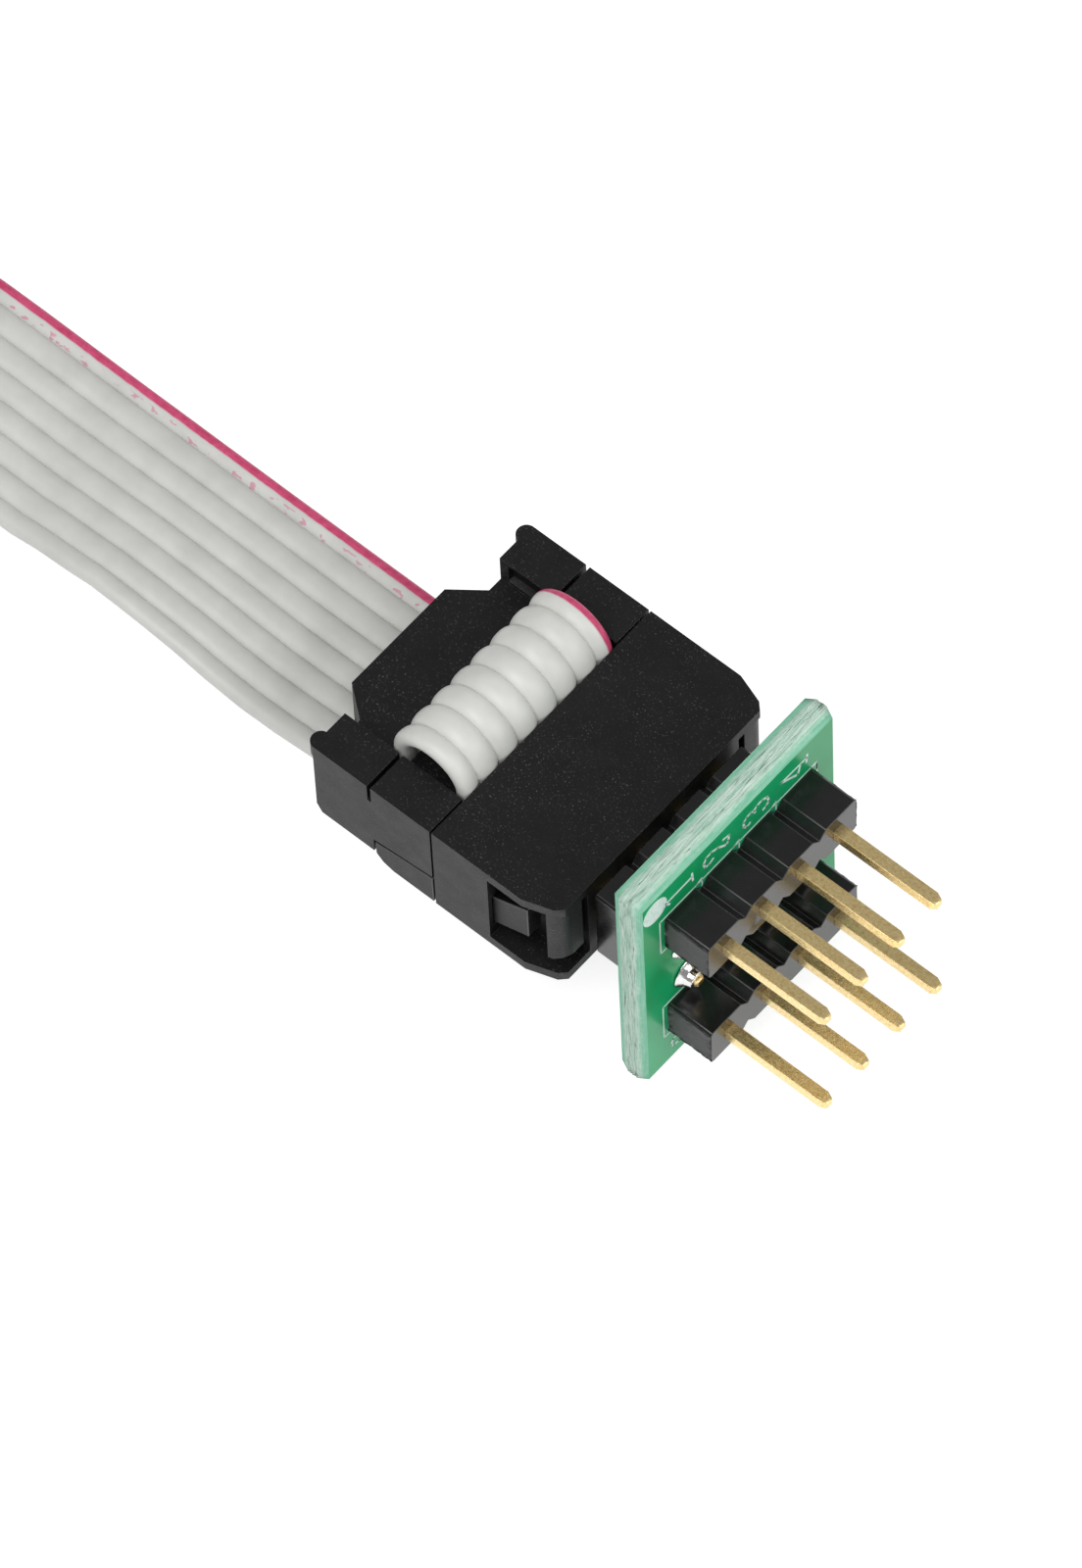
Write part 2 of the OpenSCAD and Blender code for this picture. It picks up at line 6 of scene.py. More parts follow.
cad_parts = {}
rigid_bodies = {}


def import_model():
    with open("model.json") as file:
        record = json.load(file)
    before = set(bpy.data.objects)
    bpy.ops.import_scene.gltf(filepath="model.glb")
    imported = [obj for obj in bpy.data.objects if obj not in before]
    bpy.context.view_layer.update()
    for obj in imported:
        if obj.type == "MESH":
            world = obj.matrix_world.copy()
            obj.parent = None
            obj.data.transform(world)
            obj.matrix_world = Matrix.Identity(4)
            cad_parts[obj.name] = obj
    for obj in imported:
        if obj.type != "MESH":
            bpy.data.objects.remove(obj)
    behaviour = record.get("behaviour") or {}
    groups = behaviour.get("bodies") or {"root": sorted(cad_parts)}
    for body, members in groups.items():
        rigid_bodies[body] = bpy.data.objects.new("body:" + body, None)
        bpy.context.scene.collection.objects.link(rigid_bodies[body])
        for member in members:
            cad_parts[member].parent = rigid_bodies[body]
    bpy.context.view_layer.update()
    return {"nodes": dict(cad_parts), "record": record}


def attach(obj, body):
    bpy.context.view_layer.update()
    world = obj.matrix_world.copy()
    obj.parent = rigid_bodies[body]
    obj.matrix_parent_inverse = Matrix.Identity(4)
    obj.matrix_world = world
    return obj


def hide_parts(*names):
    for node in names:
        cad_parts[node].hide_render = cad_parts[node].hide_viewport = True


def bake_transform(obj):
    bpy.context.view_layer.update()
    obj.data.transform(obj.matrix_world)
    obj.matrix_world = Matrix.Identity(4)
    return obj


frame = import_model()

mm = 0.001


def deselectAll():
    if bpy.context.object and bpy.context.object.mode != "OBJECT":
        bpy.ops.object.mode_set(mode="OBJECT")
    bpy.ops.object.select_all(action="DESELECT")


def takeUp(piece):
    deselectAll()
    piece.select_set(True)
    bpy.context.view_layer.objects.active = piece


camera = {
    "place": (0.186939, -0.204108, 0.481795),
    "right": (0.757775, 0.65193, -0.027632),
    "up": (-0.551497, 0.66252, 0.506872),
    "back": (0.348752, -0.368856, 0.861579),
    "lens": 281.06,
}


def addCamera():
    data = bpy.data.cameras.new("benchCamera")
    data.sensor_fit = "AUTO"
    data.sensor_width = 36.0
    data.lens = camera["lens"]
    data.clip_start = 0.01
    data.clip_end = 20.0
    eye = bpy.data.objects.new("benchCamera", data)
    bpy.context.scene.collection.objects.link(eye)
    turn = Matrix((camera["right"], camera["up"], camera["back"])).transposed()
    eye.matrix_world = Matrix.Translation(camera["place"]) @ turn.to_4x4()
    bpy.context.scene.camera = eye


addCamera()
print("camera set")

# eight round wires with thin webs between them, sizes in millimetres
ribbon = {
    "width": 9.9,
    "loopWidth": 10.3,
    "thick": 0.85,
    "wires": 8,
    "web": 0.11,
    "lobeReach": 0.95,
    "lobePower": 2.3,
    "stepsPerWire": 12,
    "stepsPerPoint": 6,
    "loopX": -8.075,
    "loopZ": 10.42,
    "loopRadius": 1.85,
    "loopSteps": 28,
    "startZ": 5.0,
    "legHeights": (6.5, 8.5),
    "bendRadius": 1.2,
    "bendSteps": 12,
    "underX": -12.0,
    "exit": (-13.0, 3.6),
    "freeLength": 0.178,
    "edgeTwist": 1.6,
    "smoothAngle": 50,
}
# middle line of the free ribbon in X and Z, millimetres
runPoints = [(-13, 3.6), (-24, 3.7), (-34, 3.9), (-44, 4.1), (-50, 3.2), (-54.6, 2.0)]
hankPoints = [
    (-58, 1.1), (-62, 0.6), (-67, 0.5), (-70, 0.68), (-72, 0.76), (-74, 0.68), (-77, 0.5),
    (-83, 0.45), (-88, 0.5), (-90.8, 1.2), (-92.1, 3.1), (-91, 5.1), (-88, 5.7), (-84, 4.9),
    (-79, 3.0), (-75, 2.1), (-72, 1.9), (-69, 2.1), (-66, 2.9), (-62, 4.1), (-58.5, 4.6),
    (-56, 5.5), (-55.15, 7.2), (-55.9, 8.8), (-58, 9.7), (-60.5, 9.4), (-63.5, 7.9),
    (-67, 5.2), (-70, 3.5), (-72, 3.04), (-74, 3.3), (-77.5, 4.25), (-82, 6.5), (-87, 8.2),
    (-90.5, 8.6)]
tailPoints = [(-92.7, 8.55), (-94.5, 8.4), (-96.2, 7.95), (-102.12, 7.0)]
# rise of the ribbon's near edge along X, millimetres
edgeLift = [(-13, 0), (-15.7, -0.05), (-18, -0.3), (-20.7, -0.38), (-22.6, -0.05), (-24.5, 0.4),
            (-26.6, 0.6), (-28.5, 0.75), (-32, 0.35), (-34.6, -0.1), (-40, 0), (-200, 0)]


def liftAt(x):
    for (nearX, nearLift), (farX, farLift) in zip(edgeLift, edgeLift[1:]):
        if farX <= x <= nearX:
            share = (nearX - x) / (nearX - farX)
            share = share * share * (3 - 2 * share)
            return nearLift + (farLift - nearLift) * share
    return 0.0


def curveThrough(points, steps):
    # a smooth line through the points
    line = []
    last = len(points) - 1
    for i in range(last):
        a = Vector(points[max(i - 1, 0)])
        b = Vector(points[i])
        c = Vector(points[i + 1])
        d = Vector(points[min(i + 2, last)])
        for k in range(steps):
            t = k / steps
            line.append(0.5 * (2 * b + (c - a) * t + (2 * a - 5 * b + 4 * c - d) * t * t
                               + (3 * b - a - 3 * c + d) * t * t * t))
    line.append(Vector(points[-1]))
    return line


def ribbonSection(width):
    # half thickness across the ribbon: a round conductor and a thin web beside it
    half = ribbon["thick"] / 2
    pitch = (width - 2 * half) / (ribbon["wires"] - 1)
    reach = pitch / 2
    top = [(-width / 2, 0.0)]
    for wire in range(ribbon["wires"]):
        middle = (wire - (ribbon["wires"] - 1) / 2) * pitch
        for step in range(ribbon["stepsPerWire"] + 1):
            share = -math.cos(math.pi * step / ribbon["stepsPerWire"])
            outer = (wire == 0 and share < 0) or (wire == ribbon["wires"] - 1 and share > 0)
            if (outer and abs(share) > 0.999) or (step == 0 and wire > 0):
                continue
            if outer:
                top.append((middle + share * half, half * math.sqrt(1 - share * share)))
            else:
                fall = (abs(share) * ribbon["lobeReach"]) ** ribbon["lobePower"]
                rise = half * math.sqrt(max(0.0, 1 - fall))
                top.append((middle + share * reach, max(ribbon["web"], rise)))
    top.append((width / 2, 0.0))
    return top + [(y, -z) for y, z in reversed(top[1:-1])]


def sweepRibbon(name, line, width, lifted):
    # sweeps the ribbed section along a line in X and Z and lays a UV map in millimetres
    section = ribbonSection(width)
    count = len(section)
    verts = []
    along = [0.0]
    for i, spot in enumerate(line):
        ahead = line[min(i + 1, len(line) - 1)]
        behind = line[max(i - 1, 0)]
        run = (ahead - behind).normalized()
        if i == 0 or (i == len(line) - 1 and not lifted):
            run = Vector((-1, 0)) if abs(run.x) > abs(run.y) else Vector((0, math.copysign(1, run.y)))
        side = Vector((run.y, -run.x))
        if i:
            along.append(along[-1] + (spot - line[i - 1]).length)
        lift = liftAt(spot.x) if lifted else 0.0
        for y, rise in section:
            bent = lift * (0.5 - y / width) ** ribbon["edgeTwist"]
            verts.append(((spot.x + side.x * rise) * mm, y * mm, (spot.y + side.y * rise + bent) * mm))
    faces = []
    for i in range(len(line) - 1):
        for k in range(count):
            n = (k + 1) % count
            faces.append((i * count + k, i * count + n, (i + 1) * count + n, (i + 1) * count + k))
    faces.append(tuple(range(count - 1, -1, -1)))
    faces.append(tuple((len(line) - 1) * count + k for k in range(count)))
    mesh = bpy.data.meshes.new(name)
    mesh.from_pydata(verts, [], faces)
    mapping = mesh.uv_layers.new(name="ribbonMap")
    for loop in mesh.loops:
        ring, k = divmod(loop.vertex_index, count)
        mapping.data[loop.index].uv = (section[k][0] - width / 2, along[ring])
    mesh.update()
    piece = bpy.data.objects.new(name, mesh)
    bpy.context.scene.collection.objects.link(piece)
    takeUp(piece)
    bpy.ops.object.mode_set(mode="EDIT")
    bpy.ops.mesh.select_all(action="SELECT")
    bpy.ops.mesh.normals_make_consistent(inside=False)
    bpy.ops.object.mode_set(mode="OBJECT")
    bpy.ops.object.shade_smooth_by_angle(angle=math.radians(ribbon["smoothAngle"]))
    return piece


def heldLine():
    # up out of the joint, over the cover, down its back and round under the bridge
    radius = ribbon["loopRadius"]
    bend = ribbon["bendRadius"]
    middleX, middleZ = ribbon["loopX"], ribbon["loopZ"]
    lowLeg, highLeg = ribbon["legHeights"]
    line = [Vector((middleX + radius, z)) for z in (ribbon["startZ"], lowLeg, highLeg)]
    for step in range(ribbon["loopSteps"] + 1):
        turn = math.pi * step / ribbon["loopSteps"]
        line.append(Vector((middleX + radius * math.cos(turn), middleZ + radius * math.sin(turn))))
    downX = middleX - radius
    lowZ = ribbon["exit"][1] + bend
    line += [Vector((downX, z)) for z in (highLeg, lowLeg)]
    for step in range(ribbon["bendSteps"] + 1):
        turn = math.pi / 2 * step / ribbon["bendSteps"]
        line.append(Vector((downX - bend + bend * math.cos(turn), lowZ - bend * math.sin(turn))))
    line.append(Vector((ribbon["underX"], ribbon["exit"][1])))
    line.append(Vector(ribbon["exit"]))
    return line


freeLine = curveThrough(runPoints + hankPoints + tailPoints, ribbon["stepsPerPoint"])
lineLength = sum((freeLine[i + 1] - freeLine[i]).length for i in range(len(freeLine) - 1))
print("free ribbon line", round(lineLength, 1), "mm")
ribbonLoop = sweepRibbon("ribbonLoop", heldLine(), ribbon["loopWidth"], False)
ribbonFree = sweepRibbon("ribbonFree", freeLine, ribbon["width"], True)


def newMaterial(name):
    material = bpy.data.materials.new(name)
    material.use_nodes = True
    tree = material.node_tree
    tree.nodes.clear()
    out = tree.nodes.new("ShaderNodeOutputMaterial")
    shader = tree.nodes.new("ShaderNodeBsdfPrincipled")
    tree.links.new(shader.outputs["BSDF"], out.inputs["Surface"])
    return material, tree, shader


def millimetres(tree, scale=(1, 1, 1)):
    # object coordinates in millimetres
    where = tree.nodes.new("ShaderNodeTexCoord")
    mapping = tree.nodes.new("ShaderNodeMapping")
    mapping.inputs["Scale"].default_value = [1000 * s for s in scale]
    tree.links.new(where.outputs["Object"], mapping.inputs["Vector"])
    return mapping.outputs["Vector"]


def noise(tree, vector, scale, detail=3.0, rough=0.6):
    node = tree.nodes.new("ShaderNodeTexNoise")
    node.inputs["Scale"].default_value = scale
    node.inputs["Detail"].default_value = detail
    node.inputs["Roughness"].default_value = rough
    tree.links.new(vector, node.inputs["Vector"])
    return node.outputs["Fac"]


def ramp(tree, value, stops):
    node = tree.nodes.new("ShaderNodeValToRGB")
    while len(node.color_ramp.elements) < len(stops):
        node.color_ramp.elements.new(0.5)
    for element, (place, colour) in zip(node.color_ramp.elements, stops):
        element.position = place
        element.color = tuple(colour) + (1.0,) if len(colour) == 3 else colour
    tree.links.new(value, node.inputs["Fac"])
    return node.outputs["Color"]


def mixColour(tree, share, first, second):
    node = tree.nodes.new("ShaderNodeMix")
    node.data_type = "RGBA"
    for key, value in ((0, share), (6, first), (7, second)):
        if hasattr(value, "links"):
            tree.links.new(value, node.inputs[key])
        elif key == 0:
            node.inputs[key].default_value = value
        else:
            node.inputs[key].default_value = tuple(value) + (1.0,)
    return node.outputs[2]


def sums(tree, kind, first, second, third=None):
    node = tree.nodes.new("ShaderNodeMath")
    node.operation = kind
    for key, value in enumerate((first, second, third)):
        if value is None:
            continue
        if hasattr(value, "links"):
            tree.links.new(value, node.inputs[key])
        else:
            node.inputs[key].default_value = value
    return node.outputs[0]


def bump(tree, shader, height, strength, distance):
    node = tree.nodes.new("ShaderNodeBump")
    node.inputs["Strength"].default_value = strength
    node.inputs["Distance"].default_value = distance
    tree.links.new(height, node.inputs["Height"])
    tree.links.new(node.outputs["Normal"], shader.inputs["Normal"])


def grey(level):
    return (level, level, level * 1.01)


def matteBlack(name, body, speck, roughness, grain, shine=0.5):
    material, tree, shader = newMaterial(name)
    place = millimetres(tree)
    cloud = noise(tree, place, 0.9, 4)
    fine = noise(tree, place, 11.0, 2)
    base = ramp(tree, cloud, [(0.3, grey(body * 0.8)), (0.7, grey(body * 1.25))])
    dots = ramp(tree, fine, [(0.62, grey(0)), (0.70, grey(1))])
    dusty = ramp(tree, noise(tree, place, 0.35, 3), [(0.38, grey(0.25)), (0.6, grey(1))])
    dots = sums(tree, "MULTIPLY", dots, dusty)
    colour = mixColour(tree, sums(tree, "MULTIPLY", dots, 0.75), base, grey(speck))
    tree.links.new(colour, shader.inputs["Base Color"])
    rough = sums(tree, "MULTIPLY_ADD", cloud, 0.2, roughness - 0.1)
    tree.links.new(rough, shader.inputs["Roughness"])
    shader.inputs["Specular IOR Level"].default_value = shine
    bump(tree, shader, noise(tree, place, 14.0, 3), grain, 0.00002)
    return material


gold = {
    "metallic": 0.88,
    "grain": 7.0,
    "tones": [(0.32, (0.74, 0.53, 0.21)), (0.5, (0.95, 0.72, 0.34)), (0.68, (1.0, 0.84, 0.46))],
}


def goldMaterial(name, streak, roughness):
    material, tree, shader = newMaterial(name)
    lines = noise(tree, millimetres(tree, (0.35, 1, 1)), streak, 4)
    grains = noise(tree, millimetres(tree), gold["grain"], 4, 0.7)
    tree.links.new(ramp(tree, grains, gold["tones"]), shader.inputs["Base Color"])
    shader.inputs["Metallic"].default_value = gold["metallic"]
    tree.links.new(sums(tree, "MULTIPLY_ADD", lines, 0.25, roughness - 0.12), shader.inputs["Roughness"])
    bump(tree, shader, grains, 0.45, 0.00002)
    return material


def plainMetal(name, colour, roughness, scale):
    material, tree, shader = newMaterial(name)
    cloud = noise(tree, millimetres(tree), scale, 3)
    tarnished = [channel * 0.8 for channel in colour]
    tree.links.new(ramp(tree, cloud, [(0.3, tarnished), (0.7, colour)]), shader.inputs["Base Color"])
    shader.inputs["Metallic"].default_value = 1.0
    tree.links.new(sums(tree, "MULTIPLY_ADD", cloud, 0.2, roughness - 0.1), shader.inputs["Roughness"])
    bump(tree, shader, cloud, 0.2, 0.00003)
    return material


# places across the ribbon are millimetres in from its marked edge
vinyl = {
    "dull": (0.94, 0.94, 0.9),
    "clean": (1.06, 1.06, 1.015),
    "redDark": (0.52, 0.045, 0.13),
    "redLight": (0.68, 0.09, 0.21),
    "ink": (0.60, 0.16, 0.28),
    "inkPlace": 0.92,
    "edgeWander": 0.08,
    "edgeSharpness": 12.0,
    "roughness": 0.42,
}


def ribbonMaterial(name, shade, stripeEdge, inkShare):
    material, tree, shader = newMaterial(name)
    uv = tree.nodes.new("ShaderNodeUVMap")
    uv.uv_map = "ribbonMap"
    split = tree.nodes.new("ShaderNodeSeparateXYZ")
    tree.links.new(uv.outputs["UV"], split.inputs["Vector"])
    across, along = split.outputs["X"], split.outputs["Y"]
    place = millimetres(tree)
    # this level scales the whole colour, as painted light or painted shade for this stretch of ribbon
    dull = [shade * channel for channel in vinyl["dull"]]
    clean = [shade * channel for channel in vinyl["clean"]]
    base = ramp(tree, noise(tree, place, 0.5, 3), [(0.3, dull), (0.7, clean)])
    wobble = sums(tree, "MULTIPLY_ADD", noise(tree, place, 1.4, 2), vinyl["edgeWander"], stripeEdge)
    inside = sums(tree, "MULTIPLY", sums(tree, "SUBTRACT", across, wobble), vinyl["edgeSharpness"])
    stripe = ramp(tree, inside, [(0.0, grey(0)), (1.0, grey(1))])
    # small ink specks just inside the stripe
    inked = tree.nodes.new("ShaderNodeCombineXYZ")
    tree.links.new(across, inked.inputs["X"])
    tree.links.new(sums(tree, "MULTIPLY", along, 0.35), inked.inputs["Y"])
    specks = ramp(tree, noise(tree, inked.outputs["Vector"], 4.6, 2), [(0.585, grey(0)), (0.62, grey(1))])
    off = sums(tree, "ABSOLUTE", sums(tree, "ADD", across, vinyl["inkPlace"]), 0.0)
    band = ramp(tree, off, [(0.12, grey(1)), (0.2, grey(0))])
    specks = sums(tree, "MULTIPLY", sums(tree, "MULTIPLY", specks, band), inkShare)
    red = ramp(tree, noise(tree, place, 2.5, 3), [(0.3, vinyl["redDark"]), (0.7, vinyl["redLight"])])
    base = mixColour(tree, specks, base, vinyl["ink"])
    tree.links.new(mixColour(tree, stripe, base, red), shader.inputs["Base Color"])
    shader.inputs["Roughness"].default_value = vinyl["roughness"]
    shader.inputs["Subsurface Weight"].default_value = 0.15
    shader.inputs["Subsurface Radius"].default_value = (0.4, 0.4, 0.4)
    shader.inputs["Subsurface Scale"].default_value = 0.0006
    bump(tree, shader, noise(tree, place, 6.0, 3), 0.08, 0.00002)
    return material


boardPaint = {
    "mask": [(0.35, (0.004, 0.31, 0.10)), (0.65, (0.010, 0.40, 0.155))],
    "lip": [(0.35, (0.16, 0.48, 0.31)), (0.65, (0.29, 0.62, 0.45))],
    "torn": [(0.34, (0.26, 0.48, 0.36)), (0.46, (0.46, 0.65, 0.54)), (0.66, (0.66, 0.78, 0.70))],
    "middleX": 5.0,
}


def maskMaterial():
    material, tree, shader = newMaterial("greenMask")
    place = millimetres(tree)
    base = ramp(tree, noise(tree, place, 0.22, 2), boardPaint["mask"])
    tree.links.new(base, shader.inputs["Base Color"])
    shader.inputs["Roughness"].default_value = 0.3
    shader.inputs["Specular IOR Level"].default_value = 0.25
    bump(tree, shader, noise(tree, place, 5.0, 3), 0.05, 0.00002)
    return material


def fibreMaterial():
    material, tree, shader = newMaterial("glassFibreEdge")
    place = millimetres(tree)
    fibre = noise(tree, millimetres(tree, (5.0, 0.3, 0.3)), 1.5, 5, 0.75)
    fine = noise(tree, place, 3.0, 4, 0.7)
    split = tree.nodes.new("ShaderNodeSeparateXYZ")
    tree.links.new(place, split.inputs["Vector"])
    # distance from the middle of the board's thickness, ragged along the cut
    off = sums(tree, "SUBTRACT", split.outputs["X"], boardPaint["middleX"])
    off = sums(tree, "ABSOLUTE", off, 0.0)
    off = sums(tree, "ADD", off, sums(tree, "MULTIPLY_ADD", fine, 0.5, -0.25))
    core = ramp(tree, off, [(0.34, grey(1)), (0.62, grey(0))])
    lip = ramp(tree, fibre, boardPaint["lip"])
    torn = ramp(tree, fibre, boardPaint["torn"])
    tree.links.new(mixColour(tree, core, lip, torn), shader.inputs["Base Color"])
    shader.inputs["Roughness"].default_value = 0.65
    bump(tree, shader, fibre, 0.7, 0.00008)
    return material


legendPaint = {
    "print": [(0.3, (0.45, 0.70, 0.60)), (0.5, (0.74, 0.90, 0.84))],
    "scratch": (0.35, 0.42, 0.45),
    "scratchShare": 0.35,
}


def legendMaterial():
    material, tree, shader = newMaterial("legendWhite")
    wear = noise(tree, millimetres(tree), 5.0, 3)
    worn = ramp(tree, wear, legendPaint["print"])
    # thin grey scratches along Z
    scratch = noise(tree, millimetres(tree, (1, 1.0, 0.08)), 3.4, 2)
    kept = ramp(tree, scratch, [(0.36, grey(0.45)), (0.42, grey(1.0))])
    scratched = mixColour(tree, kept, legendPaint["scratch"], worn)
    tree.links.new(mixColour(tree, legendPaint["scratchShare"], worn, scratched), shader.inputs["Base Color"])
    shader.inputs["Roughness"].default_value = 0.5
    bump(tree, shader, wear, 0.2, 0.00001)
    return material


socketBlack = matteBlack("socketBlack", 0.004, 0.12, 0.5, 0.6, 0.34)
# edge finish for the socket's bevels, lighter than the faces: partly edge wear with specks, partly a painted
# highlight along the edges
wornAndHighlitBlack = matteBlack("wornAndHighlitBlack", 0.07, 0.30, 0.5, 0.5)
stripBlack = matteBlack("stripBlack", 0.008, 0.02, 0.2, 0.1)
# lighter finish for the strips' bevelled edges: a painted highlight along the edges
stripEdgeHighlight = matteBlack("stripEdgeHighlight", 0.03, 0.08, 0.25, 0.2)
brokenBlack = matteBlack("brokenBlack", 0.035, 0.14, 0.55, 0.8)
clipBlack = matteBlack("clipBlack", 0.013, 0.03, 0.48, 0.4)
tieBlack = matteBlack("tieBlack", 0.01, 0.02, 0.4, 0.2)
pinGold = goldMaterial("pinGold", 9.0, 0.27)
pinEdge = goldMaterial("pinEdge", 6.0, 0.36)
leafGold = goldMaterial("leafGold", 5.0, 0.3)
solderMetal = plainMetal("solderMetal", (0.86, 0.86, 0.85), 0.16, 2.0)
cutBrass = plainMetal("cutBrass", (0.30, 0.20, 0.07), 0.45, 6.0)
steelMetal = plainMetal("steelMetal", (0.62, 0.62, 0.63), 0.28, 4.0)
# one vinyl at two brightness levels: painted shade on the free ribbon, painted light on the loop over the cover
ribbonVinylShaded = ribbonMaterial("ribbonVinylShaded", 0.595, -0.66, 0.65)
loopVinylLit = ribbonMaterial("loopVinylLit", 0.66, -0.55, 0.0)
greenMask = maskMaterial()
fibreEdge = fibreMaterial()
legendWhite = legendMaterial()
print("materials ready")


def bodyOf(node):
    for body, names in frame["record"]["behaviour"]["bodies"].items():
        if node in names:
            return body


def copyNode(node, pieceName, *skins):
    # a merged copy of a CAD node that is shown in its place
    source = frame["nodes"][node]
    piece = bpy.data.objects.new(pieceName, source.data.copy())
    bpy.context.scene.collection.objects.link(piece)
    piece.data.materials.clear()
    for skin in skins:
        piece.data.materials.append(skin)
    for face in piece.data.polygons:
        face.material_index = 0
    takeUp(piece)
    bpy.ops.object.mode_set(mode="EDIT")
    bpy.ops.mesh.select_all(action="SELECT")
    bpy.ops.mesh.remove_doubles(threshold=0.0000008)
    if node != "adapter_board":
        bpy.ops.mesh.dissolve_limited(angle_limit=math.radians(0.5))
    bpy.ops.mesh.select_all(action="DESELECT")
    bpy.ops.object.mode_set(mode="OBJECT")
    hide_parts(node)
    if node != "clip_spring":
        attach(piece, bodyOf(node))
    return piece


soften = {"segments": 2, "fromAngle": 28, "smoothAngle": 35, "faceWeight": 90, "edgeSlot": 1}


def softenEdges(piece, width):
    takeUp(piece)
    bpy.ops.object.modifier_add(type="BEVEL")
    edge = piece.modifiers[-1]
    edge.width = width * mm
    edge.segments = soften["segments"]
    edge.limit_method = "ANGLE"
    edge.angle_limit = math.radians(soften["fromAngle"])
    edge.material = soften["edgeSlot"]
    edge.use_clamp_overlap = True
    bpy.ops.object.modifier_apply(modifier=edge.name)
    bpy.ops.object.shade_smooth_by_angle(angle=math.radians(soften["smoothAngle"]))
    bpy.ops.object.modifier_add(type="WEIGHTED_NORMAL")
    even = piece.modifiers[-1]
    even.keep_sharp = True
    even.weight = soften["faceWeight"]
    bpy.ops.object.modifier_apply(modifier=even.name)


def pickFaces(piece, test):
    # selects faces in edit mode by their middle and normal, in millimetres
    takeUp(piece)
    for edge in piece.data.edges:
        edge.select = False
    for vert in piece.data.vertices:
        vert.select = False
    for face in piece.data.polygons:
        face.select = bool(test(face.center / mm, face.normal))
    bpy.ops.object.mode_set(mode="EDIT")
    bpy.ops.mesh.select_mode(type="FACE")


def roughen(piece, test, cuts, offset, seed):
    # cuts the chosen faces up and moves their points a little at random
    pickFaces(piece, test)
    bpy.ops.mesh.subdivide(number_cuts=cuts)
    bpy.ops.mesh.select_less()
    bpy.ops.transform.vertex_random(offset=offset * mm, uniform=0.0, normal=0.0, seed=seed)
    bpy.ops.mesh.select_all(action="DESELECT")
    bpy.ops.object.mode_set(mode="OBJECT")


# name, face finish, edge finish and width of the softened edge in millimetres; where the edge finish is lighter
# than the face it carries a painted highlight along the bevel, with wear too on the socket
dressed = {
    "socket_housing": ("socketHousing", socketBlack, wornAndHighlitBlack, 0.07),
    "socket_cover": ("socketCover", socketBlack, wornAndHighlitBlack, 0.05),
    "strain_relief": ("strainRelief", socketBlack, wornAndHighlitBlack, 0.07),
    "header_base": ("headerBase", stripBlack, stripEdgeHighlight, 0.04),
    "clip_jaw_lower": ("jawLower", clipBlack, clipBlack, 0.1),
    "clip_jaw_upper": ("jawUpper", clipBlack, clipBlack, 0.1),
    "clip_wire_block": ("wireBlock", clipBlack, clipBlack, 0.12),
    "clip_axle": ("hingePin", steelMetal, steelMetal, 0.05),
}
pieces = {}
for node, (pieceName, skin, edgeSkin, width) in dressed.items():
    pieces[node] = copyNode(node, pieceName, skin, edgeSkin)
    softenEdges(pieces[node], width)
print("moulded pieces dressed")

strip = {
    "pieces": {"pin_strip_upper": "stripUpper", "pin_strip_lower": "stripLower"},
    "bevel": 0.04,
    "endY": 5.0,
    "cuts": 9,
    "rough": 0.05,
    "seed": 3,
}


def isBrokenEnd(middle, normal):
    return abs(normal.y) > 0.95 and abs(middle.y) > strip["endY"]


for node, pieceName in strip["pieces"].items():
    piece = copyNode(node, pieceName, stripBlack, stripEdgeHighlight, brokenBlack)
    softenEdges(piece, strip["bevel"])
    for face in piece.data.polygons:
        if isBrokenEnd(face.center / mm, face.normal):
            face.material_index = 2
    roughen(piece, isBrokenEnd, strip["cuts"], strip["rough"], strip["seed"])

pins = {
    "pieces": {"pins_upper": "pinsUpper", "pins_lower": "pinsLower", "header_pins": "headerPins"},
    "bevel": 0.03,
    "cutEnds": "header_pins",
}
for node, pieceName in pins["pieces"].items():
    piece = copyNode(node, pieceName, pinGold, pinEdge, cutBrass)
    softenEdges(piece, pins["bevel"])
    for face in piece.data.polygons:
        if face.normal.x > 0.95 and node == pins["cutEnds"]:
            face.material_index = 2
print("pins and strips done")

# the torn edge is a narrow band round the board, sizes in millimetres
board = {
    "halfWidth": 6.7,
    "height": 15.4,
    "band": 0.3,
    "bandTop": 0.4,
    "tearDepth": 0.01,
    "tear": 0.05,
    "cuts": 26,
    "seed": 5,
    "flatFrom": 0.97,
    "smoothAngle": 40,
}


def isRim(middle, normal):
    sideways = abs(middle.y) > board["halfWidth"] - board["band"]
    upright = middle.z < board["bandTop"] or middle.z > board["height"] - board["bandTop"]
    return abs(normal.x) < board["flatFrom"] and (sideways or upright)


def isTorn(middle, normal):
    beyondSide = abs(middle.y) > board["halfWidth"] - board["tearDepth"]
    return beyondSide or middle.z > board["height"] - board["tearDepth"]


adapterBoard = copyNode("adapter_board", "adapterBoard", greenMask, fibreEdge)
for face in adapterBoard.data.polygons:
    face.material_index = 0 if abs(face.normal.x) > board["flatFrom"] else 1
pickFaces(adapterBoard, isRim)
bpy.ops.mesh.subdivide(number_cuts=board["cuts"])
bpy.ops.mesh.select_all(action="DESELECT")
bpy.ops.object.mode_set(mode="OBJECT")
pickFaces(adapterBoard, isTorn)
bpy.ops.transform.vertex_random(offset=board["tear"] * mm, uniform=0.0, normal=0.0, seed=board["seed"])
bpy.ops.mesh.select_all(action="DESELECT")
bpy.ops.object.mode_set(mode="OBJECT")
bpy.ops.object.shade_smooth_by_angle(angle=math.radians(board["smoothAngle"]))
for face in adapterBoard.data.polygons:
    face.use_smooth = abs(face.normal.x) < board["flatFrom"]

